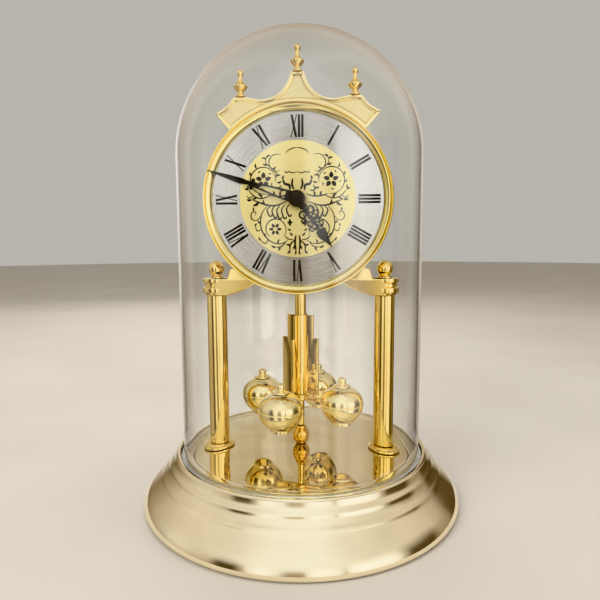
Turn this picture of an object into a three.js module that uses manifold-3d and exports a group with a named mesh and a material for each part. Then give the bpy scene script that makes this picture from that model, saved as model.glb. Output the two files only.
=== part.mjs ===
// Anniversary clock under a glass dome: a turned base, two columns that carry a round dial head,
// a quartz movement, and a pendulum with four balls that turns slowly about the base's centre line.
// Millimetres, +Z up. The origin is the centre of the base's underside. The dial faces -Y.

import * as THREE from 'three';
import { mergeVertices } from 'three/addons/utils/BufferGeometryUtils.js';
import Module from 'manifold-3d';

const wasm = await Module();
wasm.setup();

// ---------------------------------------------------------------- driving dimensions
const GAP = 0.3; // clearance between neighbouring pieces

const BASE_RADIUS = 100;
const DECK_TOP = 32.2; // top of the base's rim and of the ring inside the dome groove
const SHELL_WALL = 1.5;
const GROOVE_INNER = 71.6;
const GROOVE_OUTER = 77.3;
const GROOVE_FLOOR = 28.9;
const PLATFORM_RADIUS = 66.6;
const PLATFORM_TOP = 32.0;
const PLATFORM_THICKNESS = 1.4;
const FELT_THICKNESS = 1.2;
const COVER_SCREW_CIRCLE = 60;
const COVER_SCREW_ANGLES = [90, 210, 330];
const SCREW_HOLE = 1.7;

const DOME_RADIUS = 75;
const DOME_WALL = 2.0;
const DOME_TOP = 288.5;
const GASKET_THICKNESS = 0.8;

const COLUMN_X = 52.7;
const COLUMN_Y = -5.2;
const COLUMN_RADIUS = 6.3;
const COLUMN_BORE = 4.8;
const CAPITAL_BOTTOM = 129.8;
const CAPITAL_TOP = 140.3;
const TIE_ROD_RADIUS = 2.0;
const TIE_ROD_HOLE = TIE_ROD_RADIUS + GAP;

const DIAL_HEIGHT = 187.1;
const DIAL_FRONT = 25.6; // distances along -Y from the pendulum's axis
const DIAL_RADIUS = 52.8;
const DIAL_CENTRE_RADIUS = 33.3;
const CASE_OUTER = 53.0;
const CASE_INNER = 50.0;
const CASE_BACK = 7.0;
const CASE_FRONT = 24.3;
const BEZEL_OUTER = 55.0;
const CREST_BACK = 19.2;
const CREST_THICKNESS = 2.5;
const CREST_VALLEY_X = 21.4;
const PEAK_TOP = 259.1;
const SHOULDER_TOP = 245.6;
const SIDE_FINIAL_X = 32.9;

const MOVEMENT_HALF = 28;
const MOVEMENT_BACK = 6.0;
const MOVEMENT_WALL = 1.5;
const DIVIDER_WALL = 0.8;
const BATTERY_RADIUS = 7.25;
const BATTERY_LENGTH = 50.5;
const BATTERY_DROP = 18.6; // battery's centre line below the dial's centre
const BATTERY_DEPTH = 14.2;

const WHEEL_MODULE = 0.5; // centre pinion and minute wheel
const HOUR_MODULE = 0.4; // minute pinion and hour wheel
const PINION_TEETH = 12;
const MINUTE_TEETH = 36;
const HOUR_TEETH = 48;
const ARBOR_OFFSET = WHEEL_MODULE * (PINION_TEETH + MINUTE_TEETH) / 2;
const PRESSURE_ANGLE = THREE.MathUtils.degToRad(20);

const MINUTE_ANGLE = 288; // clockwise from twelve: the hands show 4:48
const HOUR_ANGLE = 144;
const MINUTE_HAND_LENGTH = 53.5; // its tip passes in front of the bezel
const HOUR_HAND_LENGTH = 34;

const BALL_CIRCLE = 28.4;
const BALL_RADIUS = 13.5;
const BALL_HEIGHT = 62.3;
const BALL_PHASE = 68; // azimuth of the first ball from +X
const BALL_COUNT = 4;
const FIN_BOTTOM = 65;
const FIN_STEP = 102;
const FIN_TOP = 116.6;
const DRIVE_BOTTOM = 141;
const DRIVE_TOP = 158.8;

// ---------------------------------------------------------------- materials
const finish = (color, roughness, metalness, extra = {}) =>
  new THREE.MeshStandardMaterial({ color, roughness, metalness, ...extra });

const champagne = finish(0xe0cfa0, 0.18, 1);
const mirrorGold = finish(0xd8c394, 0.05, 1);
const gold = finish(0xdcab45, 0.15, 1);
const paleGold = finish(0xe6d290, 0.12, 1);
const satinGold = finish(0xdcc27a, 0.35, 1);
const silver = finish(0xc9c9c9, 0.35, 1);
const dialGold = finish(0xe2c765, 0.3, 1);
const black = finish(0x0c0c0d, 0.4, 0);
const glass = finish(0xf4f8f8, 0.02, 0, { transparent: true, opacity: 0.2 });
const felt = finish(0x24452f, 0.95, 0);
const steel = finish(0xb8b8bc, 0.3, 1);
const rubber = finish(0x2a2a2a, 0.8, 0);
const whitePlastic = finish(0xe8e6e0, 0.5, 0);
const blackPlastic = finish(0x1d1d1f, 0.5, 0);
const copper = finish(0xb8703c, 0.4, 1);
const board = finish(0x1d5a34, 0.5, 0);
const batteryFinish = finish(0x6d7a86, 0.35, 0.6);

// ---------------------------------------------------------------- geometry helpers
// A closed three.js geometry as a manifold solid with its faces pointing out.
function solid(geometry) {
  const bare = geometry.index ? geometry.toNonIndexed() : geometry.clone();
  bare.deleteAttribute('normal');
  bare.deleteAttribute('uv');
  const merged = mergeVertices(bare, 1e-3);
  const points = merged.attributes.position.array;
  const triangles = [];
  for (let i = 0; i < merged.index.count; i += 3) {
    const [a, b, c] = [0, 1, 2].map((k) => merged.index.getX(i + k));
    if (a !== b && b !== c && c !== a) triangles.push([a, b, c]);
  }
  const corner = (i) => new THREE.Vector3().fromArray(points, 3 * i);
  const volume = triangles.reduce((sum, [a, b, c]) => sum + corner(a).dot(corner(b).cross(corner(c))), 0);
  const outward = volume < 0 ? triangles.map(([a, b, c]) => [a, c, b]) : triangles;
  return new wasm.Manifold(new wasm.Mesh({
    numProp: 3,
    vertProperties: new Float32Array(points),
    triVerts: new Uint32Array(outward.flat()),
  }));
}

// A body turned about Z from [radius, height] points.
function turned(profile, segments = 24) {
  const points = profile.map(([r, z]) => new THREE.Vector2(r, z));
  const onAxis = profile[0][0] === 0 && profile[profile.length - 1][0] === 0;
  if (!onAxis) points.push(points[0].clone());
  return solid(new THREE.LatheGeometry(points, segments).rotateX(Math.PI / 2));
}

const rod = (radius, low, high, segments = 16) =>
  turned([[0, low], [radius, low], [radius, high], [0, high]], segments);

const ring = (inner, outer, low, high, segments = 24) =>
  turned([[inner, low], [outer, low], [outer, high], [inner, high]], segments);

// Turns a body that was turned about Z so that its height runs towards -Y at the dial's centre.
const toDial = (body, x = 0, z = DIAL_HEIGHT) => body.rotate([90, 0, 0]).translate([x, 0, z]);

const shapeOf = (points) => new THREE.Shape(points.map(([x, y]) => new THREE.Vector2(x, y)));

// A flat piece drawn in X and Z, from one distance in front of the axis to another.
function plate(shape, back, front, curveSegments = 10) {
  const geometry = new THREE.ExtrudeGeometry(shape, {
    depth: front - back, bevelEnabled: false, curveSegments,
  });
  return solid(geometry.rotateX(Math.PI / 2)).translate([0, -back, 0]);
}

function block(x, y, z) {
  const size = [x[1] - x[0], y[1] - y[0], z[1] - z[0]];
  const centre = [(x[0] + x[1]) / 2, (y[0] + y[1]) / 2, (z[0] + z[1]) / 2];
  return solid(new THREE.BoxGeometry(...size)).translate(centre);
}

// Points of an arc, with angles in degrees.
function arc(x, y, radius, from, to, steps) {
  return Array.from({ length: steps + 1 }, (_, i) => {
    const angle = THREE.MathUtils.degToRad(from + (to - from) * i / steps);
    return [x + radius * Math.cos(angle), y + radius * Math.sin(angle)];
  });
}

const clock = new THREE.Group();

function add(name, body, material) {
  const { vertProperties, triVerts } = body.getMesh();
  const geometry = new THREE.BufferGeometry();
  geometry.setAttribute('position', new THREE.BufferAttribute(new Float32Array(vertProperties), 3));
  geometry.setIndex(new THREE.BufferAttribute(new Uint32Array(triVerts), 1));
  geometry.computeVertexNormals();
  const mesh = new THREE.Mesh(geometry, material);
  mesh.name = name;
  clock.add(mesh);
}

// ---------------------------------------------------------------- base
const rippleProfile = [
  [79.1, DECK_TOP], [80.5, 30.9], [82.4, 27.2], [84.6, 24.6], [86.0, 21.2], [89.0, 18.2],
];
const bulgeProfile = [[94.4, 12.6], [98.2, 7.8], [BASE_RADIUS, 3.6], [98.6, 0.5]];
const shellInside = [[97, 0.5], [97.6, 4.4], [92.6, 12], [84, 20.6]];
const COVER_LOW = FELT_THICKNESS + GAP;
const COVER_HIGH = COVER_LOW + 2;
const COVER_RADIUS = 95.4;

function baseShell() {
  const underDeck = GROOVE_FLOOR - SHELL_WALL;
  const seat = PLATFORM_TOP - PLATFORM_THICKNESS - GAP;
  const deckUnderside = seat - SHELL_WALL - 0.2;
  let shell = turned([
    [SCREW_HOLE, seat], [PLATFORM_RADIUS + GAP, seat], [PLATFORM_RADIUS + GAP, DECK_TOP - 0.5],
    [67.6, DECK_TOP], [GROOVE_INNER, DECK_TOP], [GROOVE_INNER, GROOVE_FLOOR],
    [GROOVE_OUTER, GROOVE_FLOOR], [GROOVE_OUTER, DECK_TOP],
    ...rippleProfile, ...bulgeProfile, ...shellInside,
    [78.6, underDeck], [69, underDeck], [68, deckUnderside], [SCREW_HOLE, deckUnderside],
  ], 32);
  for (const angle of COVER_SCREW_ANGLES) {
    const boss = ring(SCREW_HOLE, 4, COVER_HIGH + GAP, 29, 16).translate([COVER_SCREW_CIRCLE, 0, 0]);
    shell = shell.add(boss.rotate([0, 0, angle]));
  }
  for (const side of [-1, 1]) {
    shell = shell.subtract(rod(TIE_ROD_HOLE, 20, 40, 16).translate([side * COLUMN_X, COLUMN_Y, 0]));
  }
  return shell;
}

function bottomCover() {
  let cover = rod(COVER_RADIUS, COVER_LOW, COVER_HIGH, 32);
  for (const angle of COVER_SCREW_ANGLES) {
    const hole = rod(SCREW_HOLE, 0, 10, 16).translate([COVER_SCREW_CIRCLE, 0, 0]);
    cover = cover.subtract(hole.rotate([0, 0, angle]));
  }
  return cover;
}

function platformPlate() {
  let disc = ring(SCREW_HOLE, PLATFORM_RADIUS, PLATFORM_TOP - PLATFORM_THICKNESS, PLATFORM_TOP, 32);
  for (const side of [-1, 1]) {
    disc = disc.subtract(rod(TIE_ROD_HOLE, 20, 40, 16).translate([side * COLUMN_X, COLUMN_Y, 0]));
  }
  return disc;
}

const screw = (headLow, headHigh, tip) => turned([
  [0, headLow], [2.6, headLow], [2.8, headHigh], [1.3, headHigh], [1.3, tip - 1], [0.5, tip], [0, tip],
], 16);

add('felt_ring', ring(84, 94.5, 0, FELT_THICKNESS, 32), felt);
add('bottom_cover', bottomCover(), blackPlastic);
COVER_SCREW_ANGLES.forEach((angle, i) => {
  const body = screw(0.3, COVER_LOW - GAP, 12).translate([COVER_SCREW_CIRCLE, 0, 0]).rotate([0, 0, angle]);
  add(`cover_screw_${i + 1}`, body, steel);
});
add('base_shell', baseShell(), champagne);
add('platform_plate', platformPlate(), mirrorGold);
const ON_PLATFORM = PLATFORM_TOP + GAP; // where pieces stand on the platform plate
const GASKET_LOW = GROOVE_FLOOR + GAP;
const GASKET_HIGH = GASKET_LOW + GASKET_THICKNESS;
add('dome_gasket', ring(72.2, 76.8, GASKET_LOW, GASKET_HIGH, 32), rubber);

// Barrel-shaped cup that keeps the pendulum's tip on the centre line.
add('guide_cup', turned([
  [1.6, ON_PLATFORM], [3.4, ON_PLATFORM], [5.4, 35.2], [5.2, 38.6], [3.4, 42.6], [2.9, 43.9], [2.1, 43.9],
  [2.1, 36.6], [1.6, 36.6],
], 20), gold);
add('cup_screw', screw(26.9, 28.3, 35.4), steel);

// ---------------------------------------------------------------- dome
const DOME_BOTTOM = GASKET_HIGH + GAP;
const domeCentre = DOME_TOP - DOME_RADIUS;
const quarter = (radius, from, to) => arc(0, domeCentre, radius, from, to, 9)
  .map(([r, z]) => [Math.max(r, 0), z]);
const outerCurve = quarter(DOME_RADIUS, 0, 90);
const innerCurve = quarter(DOME_RADIUS - DOME_WALL, 90, 0);
outerCurve[outerCurve.length - 1][0] = 0;
innerCurve[0][0] = 0;
add('glass_dome', turned([
  ...innerCurve, [DOME_RADIUS - DOME_WALL, DOME_BOTTOM], [DOME_RADIUS, DOME_BOTTOM], ...outerCurve,
], 32), glass);

// ---------------------------------------------------------------- columns
const FOOT_HIGH = ON_PLATFORM + 2;

function bracket(side) {
  const capital = turned([
    [TIE_ROD_HOLE, CAPITAL_BOTTOM], [7.2, CAPITAL_BOTTOM], [8.8, 132.0], [8.8, 134.4], [7.6, 135.2],
    [7.6, 137.2], [8.8, 138.0], [8.8, CAPITAL_TOP], [TIE_ROD_HOLE, CAPITAL_TOP],
  ], 16).translate([side * COLUMN_X, COLUMN_Y, 0]);
  const outline = [
    [-COLUMN_X, 130], [-44, 130], [-27.5, 137], [-24, 141], [-30, 152], [-42.6, 146], [-44.5, CAPITAL_TOP],
    [-COLUMN_X, CAPITAL_TOP],
  ].map(([x, z]) => [-side * x, z]);
  const arm = plate(shapeOf(outline), -3, 13.5);
  const bore = rod(TIE_ROD_HOLE, 120, 150, 16).translate([side * COLUMN_X, COLUMN_Y, 0]);
  const head = toDial(rod(CASE_OUTER + GAP, -10, 40, 40));
  return capital.add(arm).subtract(bore).subtract(head);
}

for (const [label, side] of [['left', -1], ['right', 1]]) {
  const place = (body) => body.translate([side * COLUMN_X, COLUMN_Y, 0]);
  const foot = turned([
    [TIE_ROD_HOLE, ON_PLATFORM], [9.6, ON_PLATFORM], [9.6, 33.4], [8, FOOT_HIGH], [TIE_ROD_HOLE, FOOT_HIGH],
  ], 20);
  const ball = turned([
    [0, 146], [TIE_ROD_HOLE, 146], [TIE_ROD_HOLE, CAPITAL_TOP + GAP], [4.6, CAPITAL_TOP + GAP], [4.6, 141.9],
    ...arc(0, 146.3, 5.05, -56, 90, 6).map(([r, z]) => [Math.abs(r) < 1e-6 ? 0 : r, z]),
  ], 20);
  add(`column_foot_${label}`, place(foot), gold);
  const tube = ring(COLUMN_BORE, COLUMN_RADIUS, FOOT_HIGH + GAP, CAPITAL_BOTTOM - GAP, 24);
  add(`column_tube_${label}`, place(tube), gold);
  add(`column_rod_${label}`, place(rod(TIE_ROD_RADIUS, 22, 145.4, 12)), steel);
  add(`column_nut_${label}`, place(ring(TIE_ROD_HOLE, 4.2, 25, 28.3, 6)), steel);
  add(`column_ball_${label}`, place(ball), gold);
  add(`bracket_${label}`, bracket(side), gold);
}

// ---------------------------------------------------------------- dial head
add('case_ring', toDial(ring(CASE_INNER, CASE_OUTER, CASE_BACK, CASE_FRONT, 32)), gold);

function backRing() {
  const disc = toDial(rod(CASE_INNER - GAP, CASE_BACK, CASE_BACK + 1.2, 32));
  const half = MOVEMENT_HALF + GAP;
  return disc.subtract(block([-half, half], [-30, 0], [DIAL_HEIGHT - half, DIAL_HEIGHT + half]));
}

add('back_ring', backRing(), gold);
const BUSH_HOLE = 4.3;
add('dial_plate', toDial(ring(BUSH_HOLE, DIAL_RADIUS, CASE_FRONT + GAP, DIAL_FRONT, 32)), silver);
const dialCentre = ring(BUSH_HOLE, DIAL_CENTRE_RADIUS, DIAL_FRONT + GAP, DIAL_FRONT + 0.7, 32);
add('dial_centre', toDial(dialCentre), dialGold);
add('bezel', toDial(turned([
  [CASE_OUTER + GAP, 22], [BEZEL_OUTER, 22], [BEZEL_OUTER, 26.4], [54.1, 28.9], [52.6, 28.7], [50.8, 27.8],
  [49.4, 26.0], [CASE_OUTER + GAP, 26.0],
], 32)), gold);

// Crest plate with a tall middle peak and a shoulder each side, cut out over the head.
function crest() {
  const right = [
    [3.8, PEAK_TOP], [4.9, 255.6], [6.7, 252.0], [9.3, 248.7], [12.9, 246.1], [16.8, 244.7],
    [CREST_VALLEY_X, 244.2], [29.6, SHOULDER_TOP], [37.0, SHOULDER_TOP], [39.5, 242.3], [42.8, 239.4],
    [47.9, 236.7], [39.8, 227.6],
  ];
  const left = right.map(([x, z]) => [-x, z]).reverse();
  const bottom = [[30, 215], [-30, 215]];
  const body = plate(shapeOf([...right, ...bottom, ...left]), CREST_BACK, CREST_BACK + CREST_THICKNESS);
  return body.subtract(toDial(rod(CASE_OUTER + GAP, 0, 40, 40)));
}

add('crest', crest(), satinGold);

const finialProfile = [
  [0, 0], [3.2, 0], [3.2, 1.2], [1.7, 2.0], [1.9, 3.2], [4.2, 6.0], [2.2, 7.6], [1.0, 9.2], [0.9, 11.4],
  [1.9, 13.4], [1.2, 15.0], [0, 15.3],
];
const FINIAL_Y = -(CREST_BACK + CREST_THICKNESS / 2);
const FINIAL_SEATS = [
  ['left', -SIDE_FINIAL_X, SHOULDER_TOP],
  ['centre', 0, PEAK_TOP],
  ['right', SIDE_FINIAL_X, SHOULDER_TOP],
];
for (const [label, x, top] of FINIAL_SEATS) {
  add(`crest_finial_${label}`, turned(finialProfile, 10).translate([x, FINIAL_Y, top + GAP]), gold);
}

// ---------------------------------------------------------------- movement
const MOVEMENT_FRONT = CASE_FRONT - GAP;
const COVER_FRONT = MOVEMENT_BACK + 1.2;
const BATTERY_Z = DIAL_HEIGHT - BATTERY_DROP;
const DIVIDER_Z = BATTERY_Z + BATTERY_RADIUS + GAP;

function movementCase() {
  const half = MOVEMENT_HALF - GAP;
  const low = DIAL_HEIGHT - half;
  const high = DIAL_HEIGHT + half;
  const inner = half - MOVEMENT_WALL;
  const shell = block([-half, half], [-MOVEMENT_FRONT, -MOVEMENT_BACK], [low, high]);
  const wellDepth = [-(MOVEMENT_FRONT - MOVEMENT_WALL), 1];
  const batteryWell = block([-inner, inner], wellDepth, [low + MOVEMENT_WALL, DIVIDER_Z]);
  const gearWell = block([-inner, inner], wellDepth, [DIVIDER_Z + DIVIDER_WALL, high - MOVEMENT_WALL]);
  const bush = toDial(rod(4, MOVEMENT_FRONT - 1, 27.6, 24));
  const bore = toDial(rod(2.6, 10, 40, 24));
  return shell.subtract(batteryWell).subtract(gearWell).add(bush).subtract(bore);
}

function movementCover() {
  const half = MOVEMENT_HALF - GAP - MOVEMENT_WALL - GAP;
  const low = DIVIDER_Z + DIVIDER_WALL + GAP;
  const panel = block([-half, half], [-COVER_FRONT, -MOVEMENT_BACK], [low, DIAL_HEIGHT + half]);
  return panel.subtract(toDial(rod(1.6, 0, 20, 16), 0, DIAL_HEIGHT + ARBOR_OFFSET));
}

add('movement_case', movementCase(), blackPlastic);
add('movement_cover', movementCover(), blackPlastic);
add('circuit_board', block([11, 25], [-15.6, -14.4], [180, 212]), board);
const coil = turned([[0, -9], [4.4, -9], [4.4, -8], [3.6, -8], [3.6, 8], [4.4, 8], [4.4, 9], [0, 9]], 16);
add('motor_coil', coil.translate([-18, -14.6, 190]), copper);
const cell = turned([
  [0, -25.25], [BATTERY_RADIUS, -25.25], [BATTERY_RADIUS, 23.6], [2.7, 23.6], [2.7, 25.25], [0, 25.25],
].map(([r, z]) => [r, z * BATTERY_LENGTH / 50.5]), 24);
add('battery', cell.rotate([0, 90, 0]).translate([0, -BATTERY_DEPTH, BATTERY_Z]), batteryFinish);

// Involute gear outline with a tooth centred on the X axis.
function gearShape(teeth, module, turn) {
  const involute = (angle) => Math.tan(angle) - angle;
  const pitch = module * teeth / 2;
  const baseCircle = pitch * Math.cos(PRESSURE_ANGLE);
  const tip = pitch + 0.8 * module;
  const root = pitch - 1.15 * module;
  const backlash = 0.05;
  const halfTooth = Math.PI / (2 * teeth) - backlash / pitch + involute(PRESSURE_ANGLE);
  const deepRoot = baseCircle - root > 0.2 * module;
  const start = Math.max(baseCircle, root);
  const flank = [0, 1].map((t) => {
    const radius = start + (tip - start) * t;
    return [radius, halfTooth - involute(Math.acos(Math.min(1, baseCircle / radius)))];
  });
  const side = deepRoot ? [[root, flank[0][1]], ...flank] : flank;
  const points = [];
  for (let i = 0; i < teeth; i++) {
    const centre = turn + 2 * Math.PI * i / teeth;
    for (const [r, a] of side) points.push([r * Math.cos(centre - a), r * Math.sin(centre - a)]);
    for (const [r, a] of [...side].reverse()) {
      points.push([r * Math.cos(centre + a), r * Math.sin(centre + a)]);
    }
  }
  return shapeOf(points);
}

const gear = (teeth, module, turn, back, front, z) =>
  plate(gearShape(teeth, module, turn), back, front).translate([0, 0, z]);

const UP = Math.PI / 2;
const ARBOR_Z = DIAL_HEIGHT + ARBOR_OFFSET;
const ARBOR_RADIUS = 1.2;
const ARBOR_HOLE = ARBOR_RADIUS + GAP;

const centreArbor = gear(PINION_TEETH, WHEEL_MODULE, UP, 16.4, 18.8, DIAL_HEIGHT)
  .add(toDial(rod(ARBOR_RADIUS, 9, 35.2, 16)));
add('centre_arbor', centreArbor, steel);
const hourWheel = gear(HOUR_TEETH, HOUR_MODULE, UP + Math.PI / HOUR_TEETH, 19.8, 21.4, DIAL_HEIGHT)
  .add(toDial(rod(2.3, 20, 30.4, 20)))
  .subtract(toDial(rod(ARBOR_HOLE, 10, 40, 16)));
add('hour_wheel', hourWheel, steel);
const settingArbor = gear(MINUTE_TEETH, WHEEL_MODULE, -UP + Math.PI / MINUTE_TEETH, 16.8, 18.4, ARBOR_Z)
  .add(gear(PINION_TEETH, HOUR_MODULE, -UP, 18, 21.8, ARBOR_Z))
  .add(toDial(rod(ARBOR_RADIUS, 3, 17, 16), 0, ARBOR_Z))
  .add(toDial(rod(5.5, 1.5, MOVEMENT_BACK - GAP, 12), 0, ARBOR_Z));
add('setting_arbor', settingArbor, blackPlastic);

// ---------------------------------------------------------------- hands
// Hand outlines point to twelve; turnedHand turns them clockwise about the dial's centre.
function turnedHand(outline, windows, degrees, back, front) {
  const half = outline.concat([...outline].reverse().map(([x, z]) => [-x, z]));
  const shape = shapeOf(half);
  for (const points of windows) {
    shape.holes.push(new THREE.Path(points.map(([x, z]) => new THREE.Vector2(x, z))));
  }
  return plate(shape, back, front).rotate([0, degrees, 0]).translate([0, 0, DIAL_HEIGHT]);
}

const holeAt = (radius) => arc(0, 0, radius, 360, 0, 16).slice(0, -1);
const minuteOutline = [
  [1.4, -5], [3.8, -3], [4.8, 0], [3.8, 3], [3.2, 4.4], [2.6, 13], [1.6, 23.8], [3.2, 25.4], [3.2, 27.4],
  [1.2, 28.7], [1.5, 33], [0.9, 44], [0.25, MINUTE_HAND_LENGTH],
];
const minuteWindow = [[1.5, 7], [-1.5, 7], [-0.8, 20], [0.8, 20]];
const minuteHand = turnedHand(minuteOutline, [holeAt(ARBOR_HOLE), minuteWindow], MINUTE_ANGLE, 31.8, 32.4);
add('minute_hand', minuteHand, black);
const hourOutline = [
  [1.6, -5], [3.8, -3.6], [4.6, 0], [3.8, 3], [2.2, 5.4], [5.2, 9], [5.6, 12], [2.4, 15], [4.6, 17.4],
  [4.2, 20.4],
  [1.6, 22.4], [2.8, 25.6], [1.6, 30], [0.25, HOUR_HAND_LENGTH],
];
const hourWindow = [[2.6, 9.6], [-2.6, 9.6], [-2.2, 12.6], [2.2, 12.6]];
const hourHand = turnedHand(hourOutline, [holeAt(2.6), hourWindow], HOUR_ANGLE, 28.8, 29.4);
add('hour_hand', hourHand, black);
add('hand_nut', toDial(turned([
  [0, 35.5], [ARBOR_HOLE, 35.5], [ARBOR_HOLE, 32.7], [4.7, 32.7], [4.5, 33.5], [2.6, 34.0], [2.4, 35.6],
  [1.2, 36.1], [0, 36.2],
], 20)), black);

// ---------------------------------------------------------------- pendulum drive
const DRIVE_BORE = 4.9;
const drive = block([-14, 14], [-6.2, 10], [DRIVE_BOTTOM, DRIVE_TOP])
  .subtract(rod(DRIVE_BORE, DRIVE_BOTTOM - 1, DRIVE_TOP - 1.5, 24));
add('drive_housing', drive, blackPlastic);
const TUBE_RADIUS = 3.6;
add('drive_bush', ring(TUBE_RADIUS + GAP, DRIVE_BORE - GAP, DRIVE_BOTTOM + GAP, 144.3, 24), whitePlastic);
add('drive_coil', ring(2.2, DRIVE_BORE - GAP, 153.4, 156.8, 24), copper);

// ---------------------------------------------------------------- pendulum
const CORE_RADIUS = 1.5;
const CORE_HOLE = CORE_RADIUS + GAP;
const HUB_LOW = 60.9;
const HUB_HIGH = FIN_BOTTOM - GAP;
const ballAzimuths = Array.from({ length: BALL_COUNT }, (_, i) => BALL_PHASE + 360 * i / BALL_COUNT);

add('pendulum_rod', turned([
  [0, 37.4], [CORE_RADIUS, 38.4], [CORE_RADIUS, 44.2], [2.25, 44.6], [2.25, HUB_LOW - GAP],
  [CORE_RADIUS, HUB_LOW - GAP], [CORE_RADIUS, 153], [0, 153],
], 20), gold);

function spider() {
  let body = rod(4, HUB_LOW, HUB_HIGH, 24);
  for (const azimuth of ballAzimuths) {
    const reach = BALL_CIRCLE - BALL_RADIUS - GAP - 0.2;
    body = body.add(block([2, reach], [-1.4, 1.4], [61.2, 63.4]).rotate([0, 0, azimuth]));
  }
  return body.subtract(rod(CORE_HOLE, 50, 70, 20));
}

function fins() {
  let body = rod(3.3, FIN_BOTTOM, FIN_TOP, 24);
  for (const azimuth of ballAzimuths) {
    const wide = block([2, 12.6], [-0.75, 0.75], [FIN_BOTTOM, FIN_STEP]);
    const narrow = block([2, 9.1], [-0.75, 0.75], [FIN_STEP - 5, FIN_TOP]);
    body = body.add(wide.add(narrow).rotate([0, 0, azimuth]));
  }
  return body.subtract(rod(CORE_HOLE, 50, 130, 20));
}

add('pendulum_spider', spider(), gold);
add('pendulum_fins', fins(), gold);
add('pendulum_tube', ring(CORE_HOLE, TUBE_RADIUS, FIN_TOP + GAP, 148, 24), gold);
add('drive_magnet', ring(CORE_HOLE, 4.4, 148.4, 152.6, 20), steel);

// Heights are measured from the ball's equator.
const ballProfile = [
  [0, -11.2], [5, -11.2], [5, -13.2], [6.6, -13.2], [6.6, -11.6],
  ...arc(0, 0, BALL_RADIUS, -59, -6, 3), [13.7, 0], [13.2, 1.4], [11.6, 5.6], [8.2, 9.0], [5.4, 10.2],
  [0, 10.2],
];
const knobProfile = [
  [0, 10.5], [5.2, 10.5], [5.0, 11.4], [2.2, 12.4], [2.6, 14.0], [2.0, 15.8], [0, 16.4],
];
ballAzimuths.forEach((azimuth, i) => {
  const place = (body) => body.translate([BALL_CIRCLE, 0, BALL_HEIGHT]).rotate([0, 0, azimuth]);
  add(`ball_${i + 1}`, place(turned(ballProfile, 14)), paleGold);
  add(`ball_finial_${i + 1}`, place(turned(knobProfile, 10)), paleGold);
});

export default clock;
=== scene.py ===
"""Looks for the anniversary clock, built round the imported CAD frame. Outlines are in millimetres."""

from math import atan2, ceil, cos, degrees, exp, pi, radians, sin

import bmesh
import bpy
from mathutils import Matrix, Vector


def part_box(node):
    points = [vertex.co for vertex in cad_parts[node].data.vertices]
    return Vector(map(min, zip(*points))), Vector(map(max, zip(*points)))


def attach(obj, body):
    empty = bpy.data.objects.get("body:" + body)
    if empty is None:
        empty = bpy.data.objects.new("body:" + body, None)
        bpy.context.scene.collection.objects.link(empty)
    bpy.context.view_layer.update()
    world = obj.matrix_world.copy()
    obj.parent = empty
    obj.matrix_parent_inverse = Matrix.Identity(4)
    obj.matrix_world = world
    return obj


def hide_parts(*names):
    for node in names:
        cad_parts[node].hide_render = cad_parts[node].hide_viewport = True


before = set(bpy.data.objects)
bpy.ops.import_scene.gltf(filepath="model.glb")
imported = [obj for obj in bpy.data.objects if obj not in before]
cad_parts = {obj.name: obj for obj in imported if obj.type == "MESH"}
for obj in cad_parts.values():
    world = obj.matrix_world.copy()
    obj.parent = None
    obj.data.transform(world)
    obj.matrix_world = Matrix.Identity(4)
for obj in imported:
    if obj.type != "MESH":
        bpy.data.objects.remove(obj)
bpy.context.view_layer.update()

MM = 0.001
MOVEMENT_HALF = 28  # half the side of the window for the movement
ARBOR_OFFSET = 12.0  # how far the setting arbor is above the dial's centre


def box_mm(node):
    """Lowest and highest corner of a CAD node, in millimetres."""
    low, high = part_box(node)
    return low / MM, high / MM


def new_object(name, data):
    thing = bpy.data.objects.new(name, data)
    bpy.context.scene.collection.objects.link(thing)
    return thing


DIAL_Z = (box_mm("dial_plate")[0].z + box_mm("dial_plate")[1].z) / 2

# ---- camera, floor and light
# The viewpoint, in the row frame: just over a third of a metre in front, a little above the dial's foot.
CAMERA_PLACE = (18.9, -335.9, 163)
CAMERA_YAW = 0.057
CAMERA_PITCH = -0.110
CAMERA_ROLL = -0.005
LENS_MM = 31.84
SENSOR_MM = 36.0


def make_camera():
    data = bpy.data.cameras.new("camera")
    data.sensor_width = SENSOR_MM
    data.lens = LENS_MM
    data.clip_start = 0.01
    data.dof.use_dof = False
    camera = new_object("camera", data)
    turn = Matrix.Rotation(CAMERA_YAW, 4, "Z") @ Matrix.Rotation(pi / 2 + CAMERA_PITCH, 4, "X")
    place = Matrix.Translation(Vector(CAMERA_PLACE) * MM)
    camera.matrix_world = place @ turn @ Matrix.Rotation(CAMERA_ROLL, 4, "Z")
    bpy.context.scene.camera = camera


def area_light(name, place, target, size, power, colour=(1, 1, 1)):
    """A soft box. Mirrors and glass don't show it: what they show is the studio in make_world."""
    data = bpy.data.lights.new(name, "AREA")
    data.shape = "RECTANGLE"
    data.size, data.size_y = size
    data.energy = power
    data.color = colour
    lamp = new_object(name, data)
    aim = (Vector(target) - Vector(place)).to_track_quat("-Z", "Y")
    lamp.matrix_world = Matrix.Translation(place) @ aim.to_matrix().to_4x4()
    lamp.visible_glossy = False
    lamp.visible_transmission = False
    lamp.visible_camera = False


def make_lights():
    area_light("key", (-0.75, -0.75, 0.85), (0, 0, 0.12), (0.7, 0.9), 12, (1, 0.98, 0.95))
    area_light("window", (0.95, -0.35, 0.45), (0, 0, 0.15), (0.35, 0.8), 5, (0.93, 0.97, 1))
    area_light("top", (0, 0.1, 1.1), (0, 0, 0.1), (0.9, 0.9), 6)
    area_light("rear", (-0.3, 1, 0.6), (0, 0, 0.15), (0.9, 0.5), 4)
    bpy.context.scene.view_settings.view_transform = "Khronos PBR Neutral"


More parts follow.
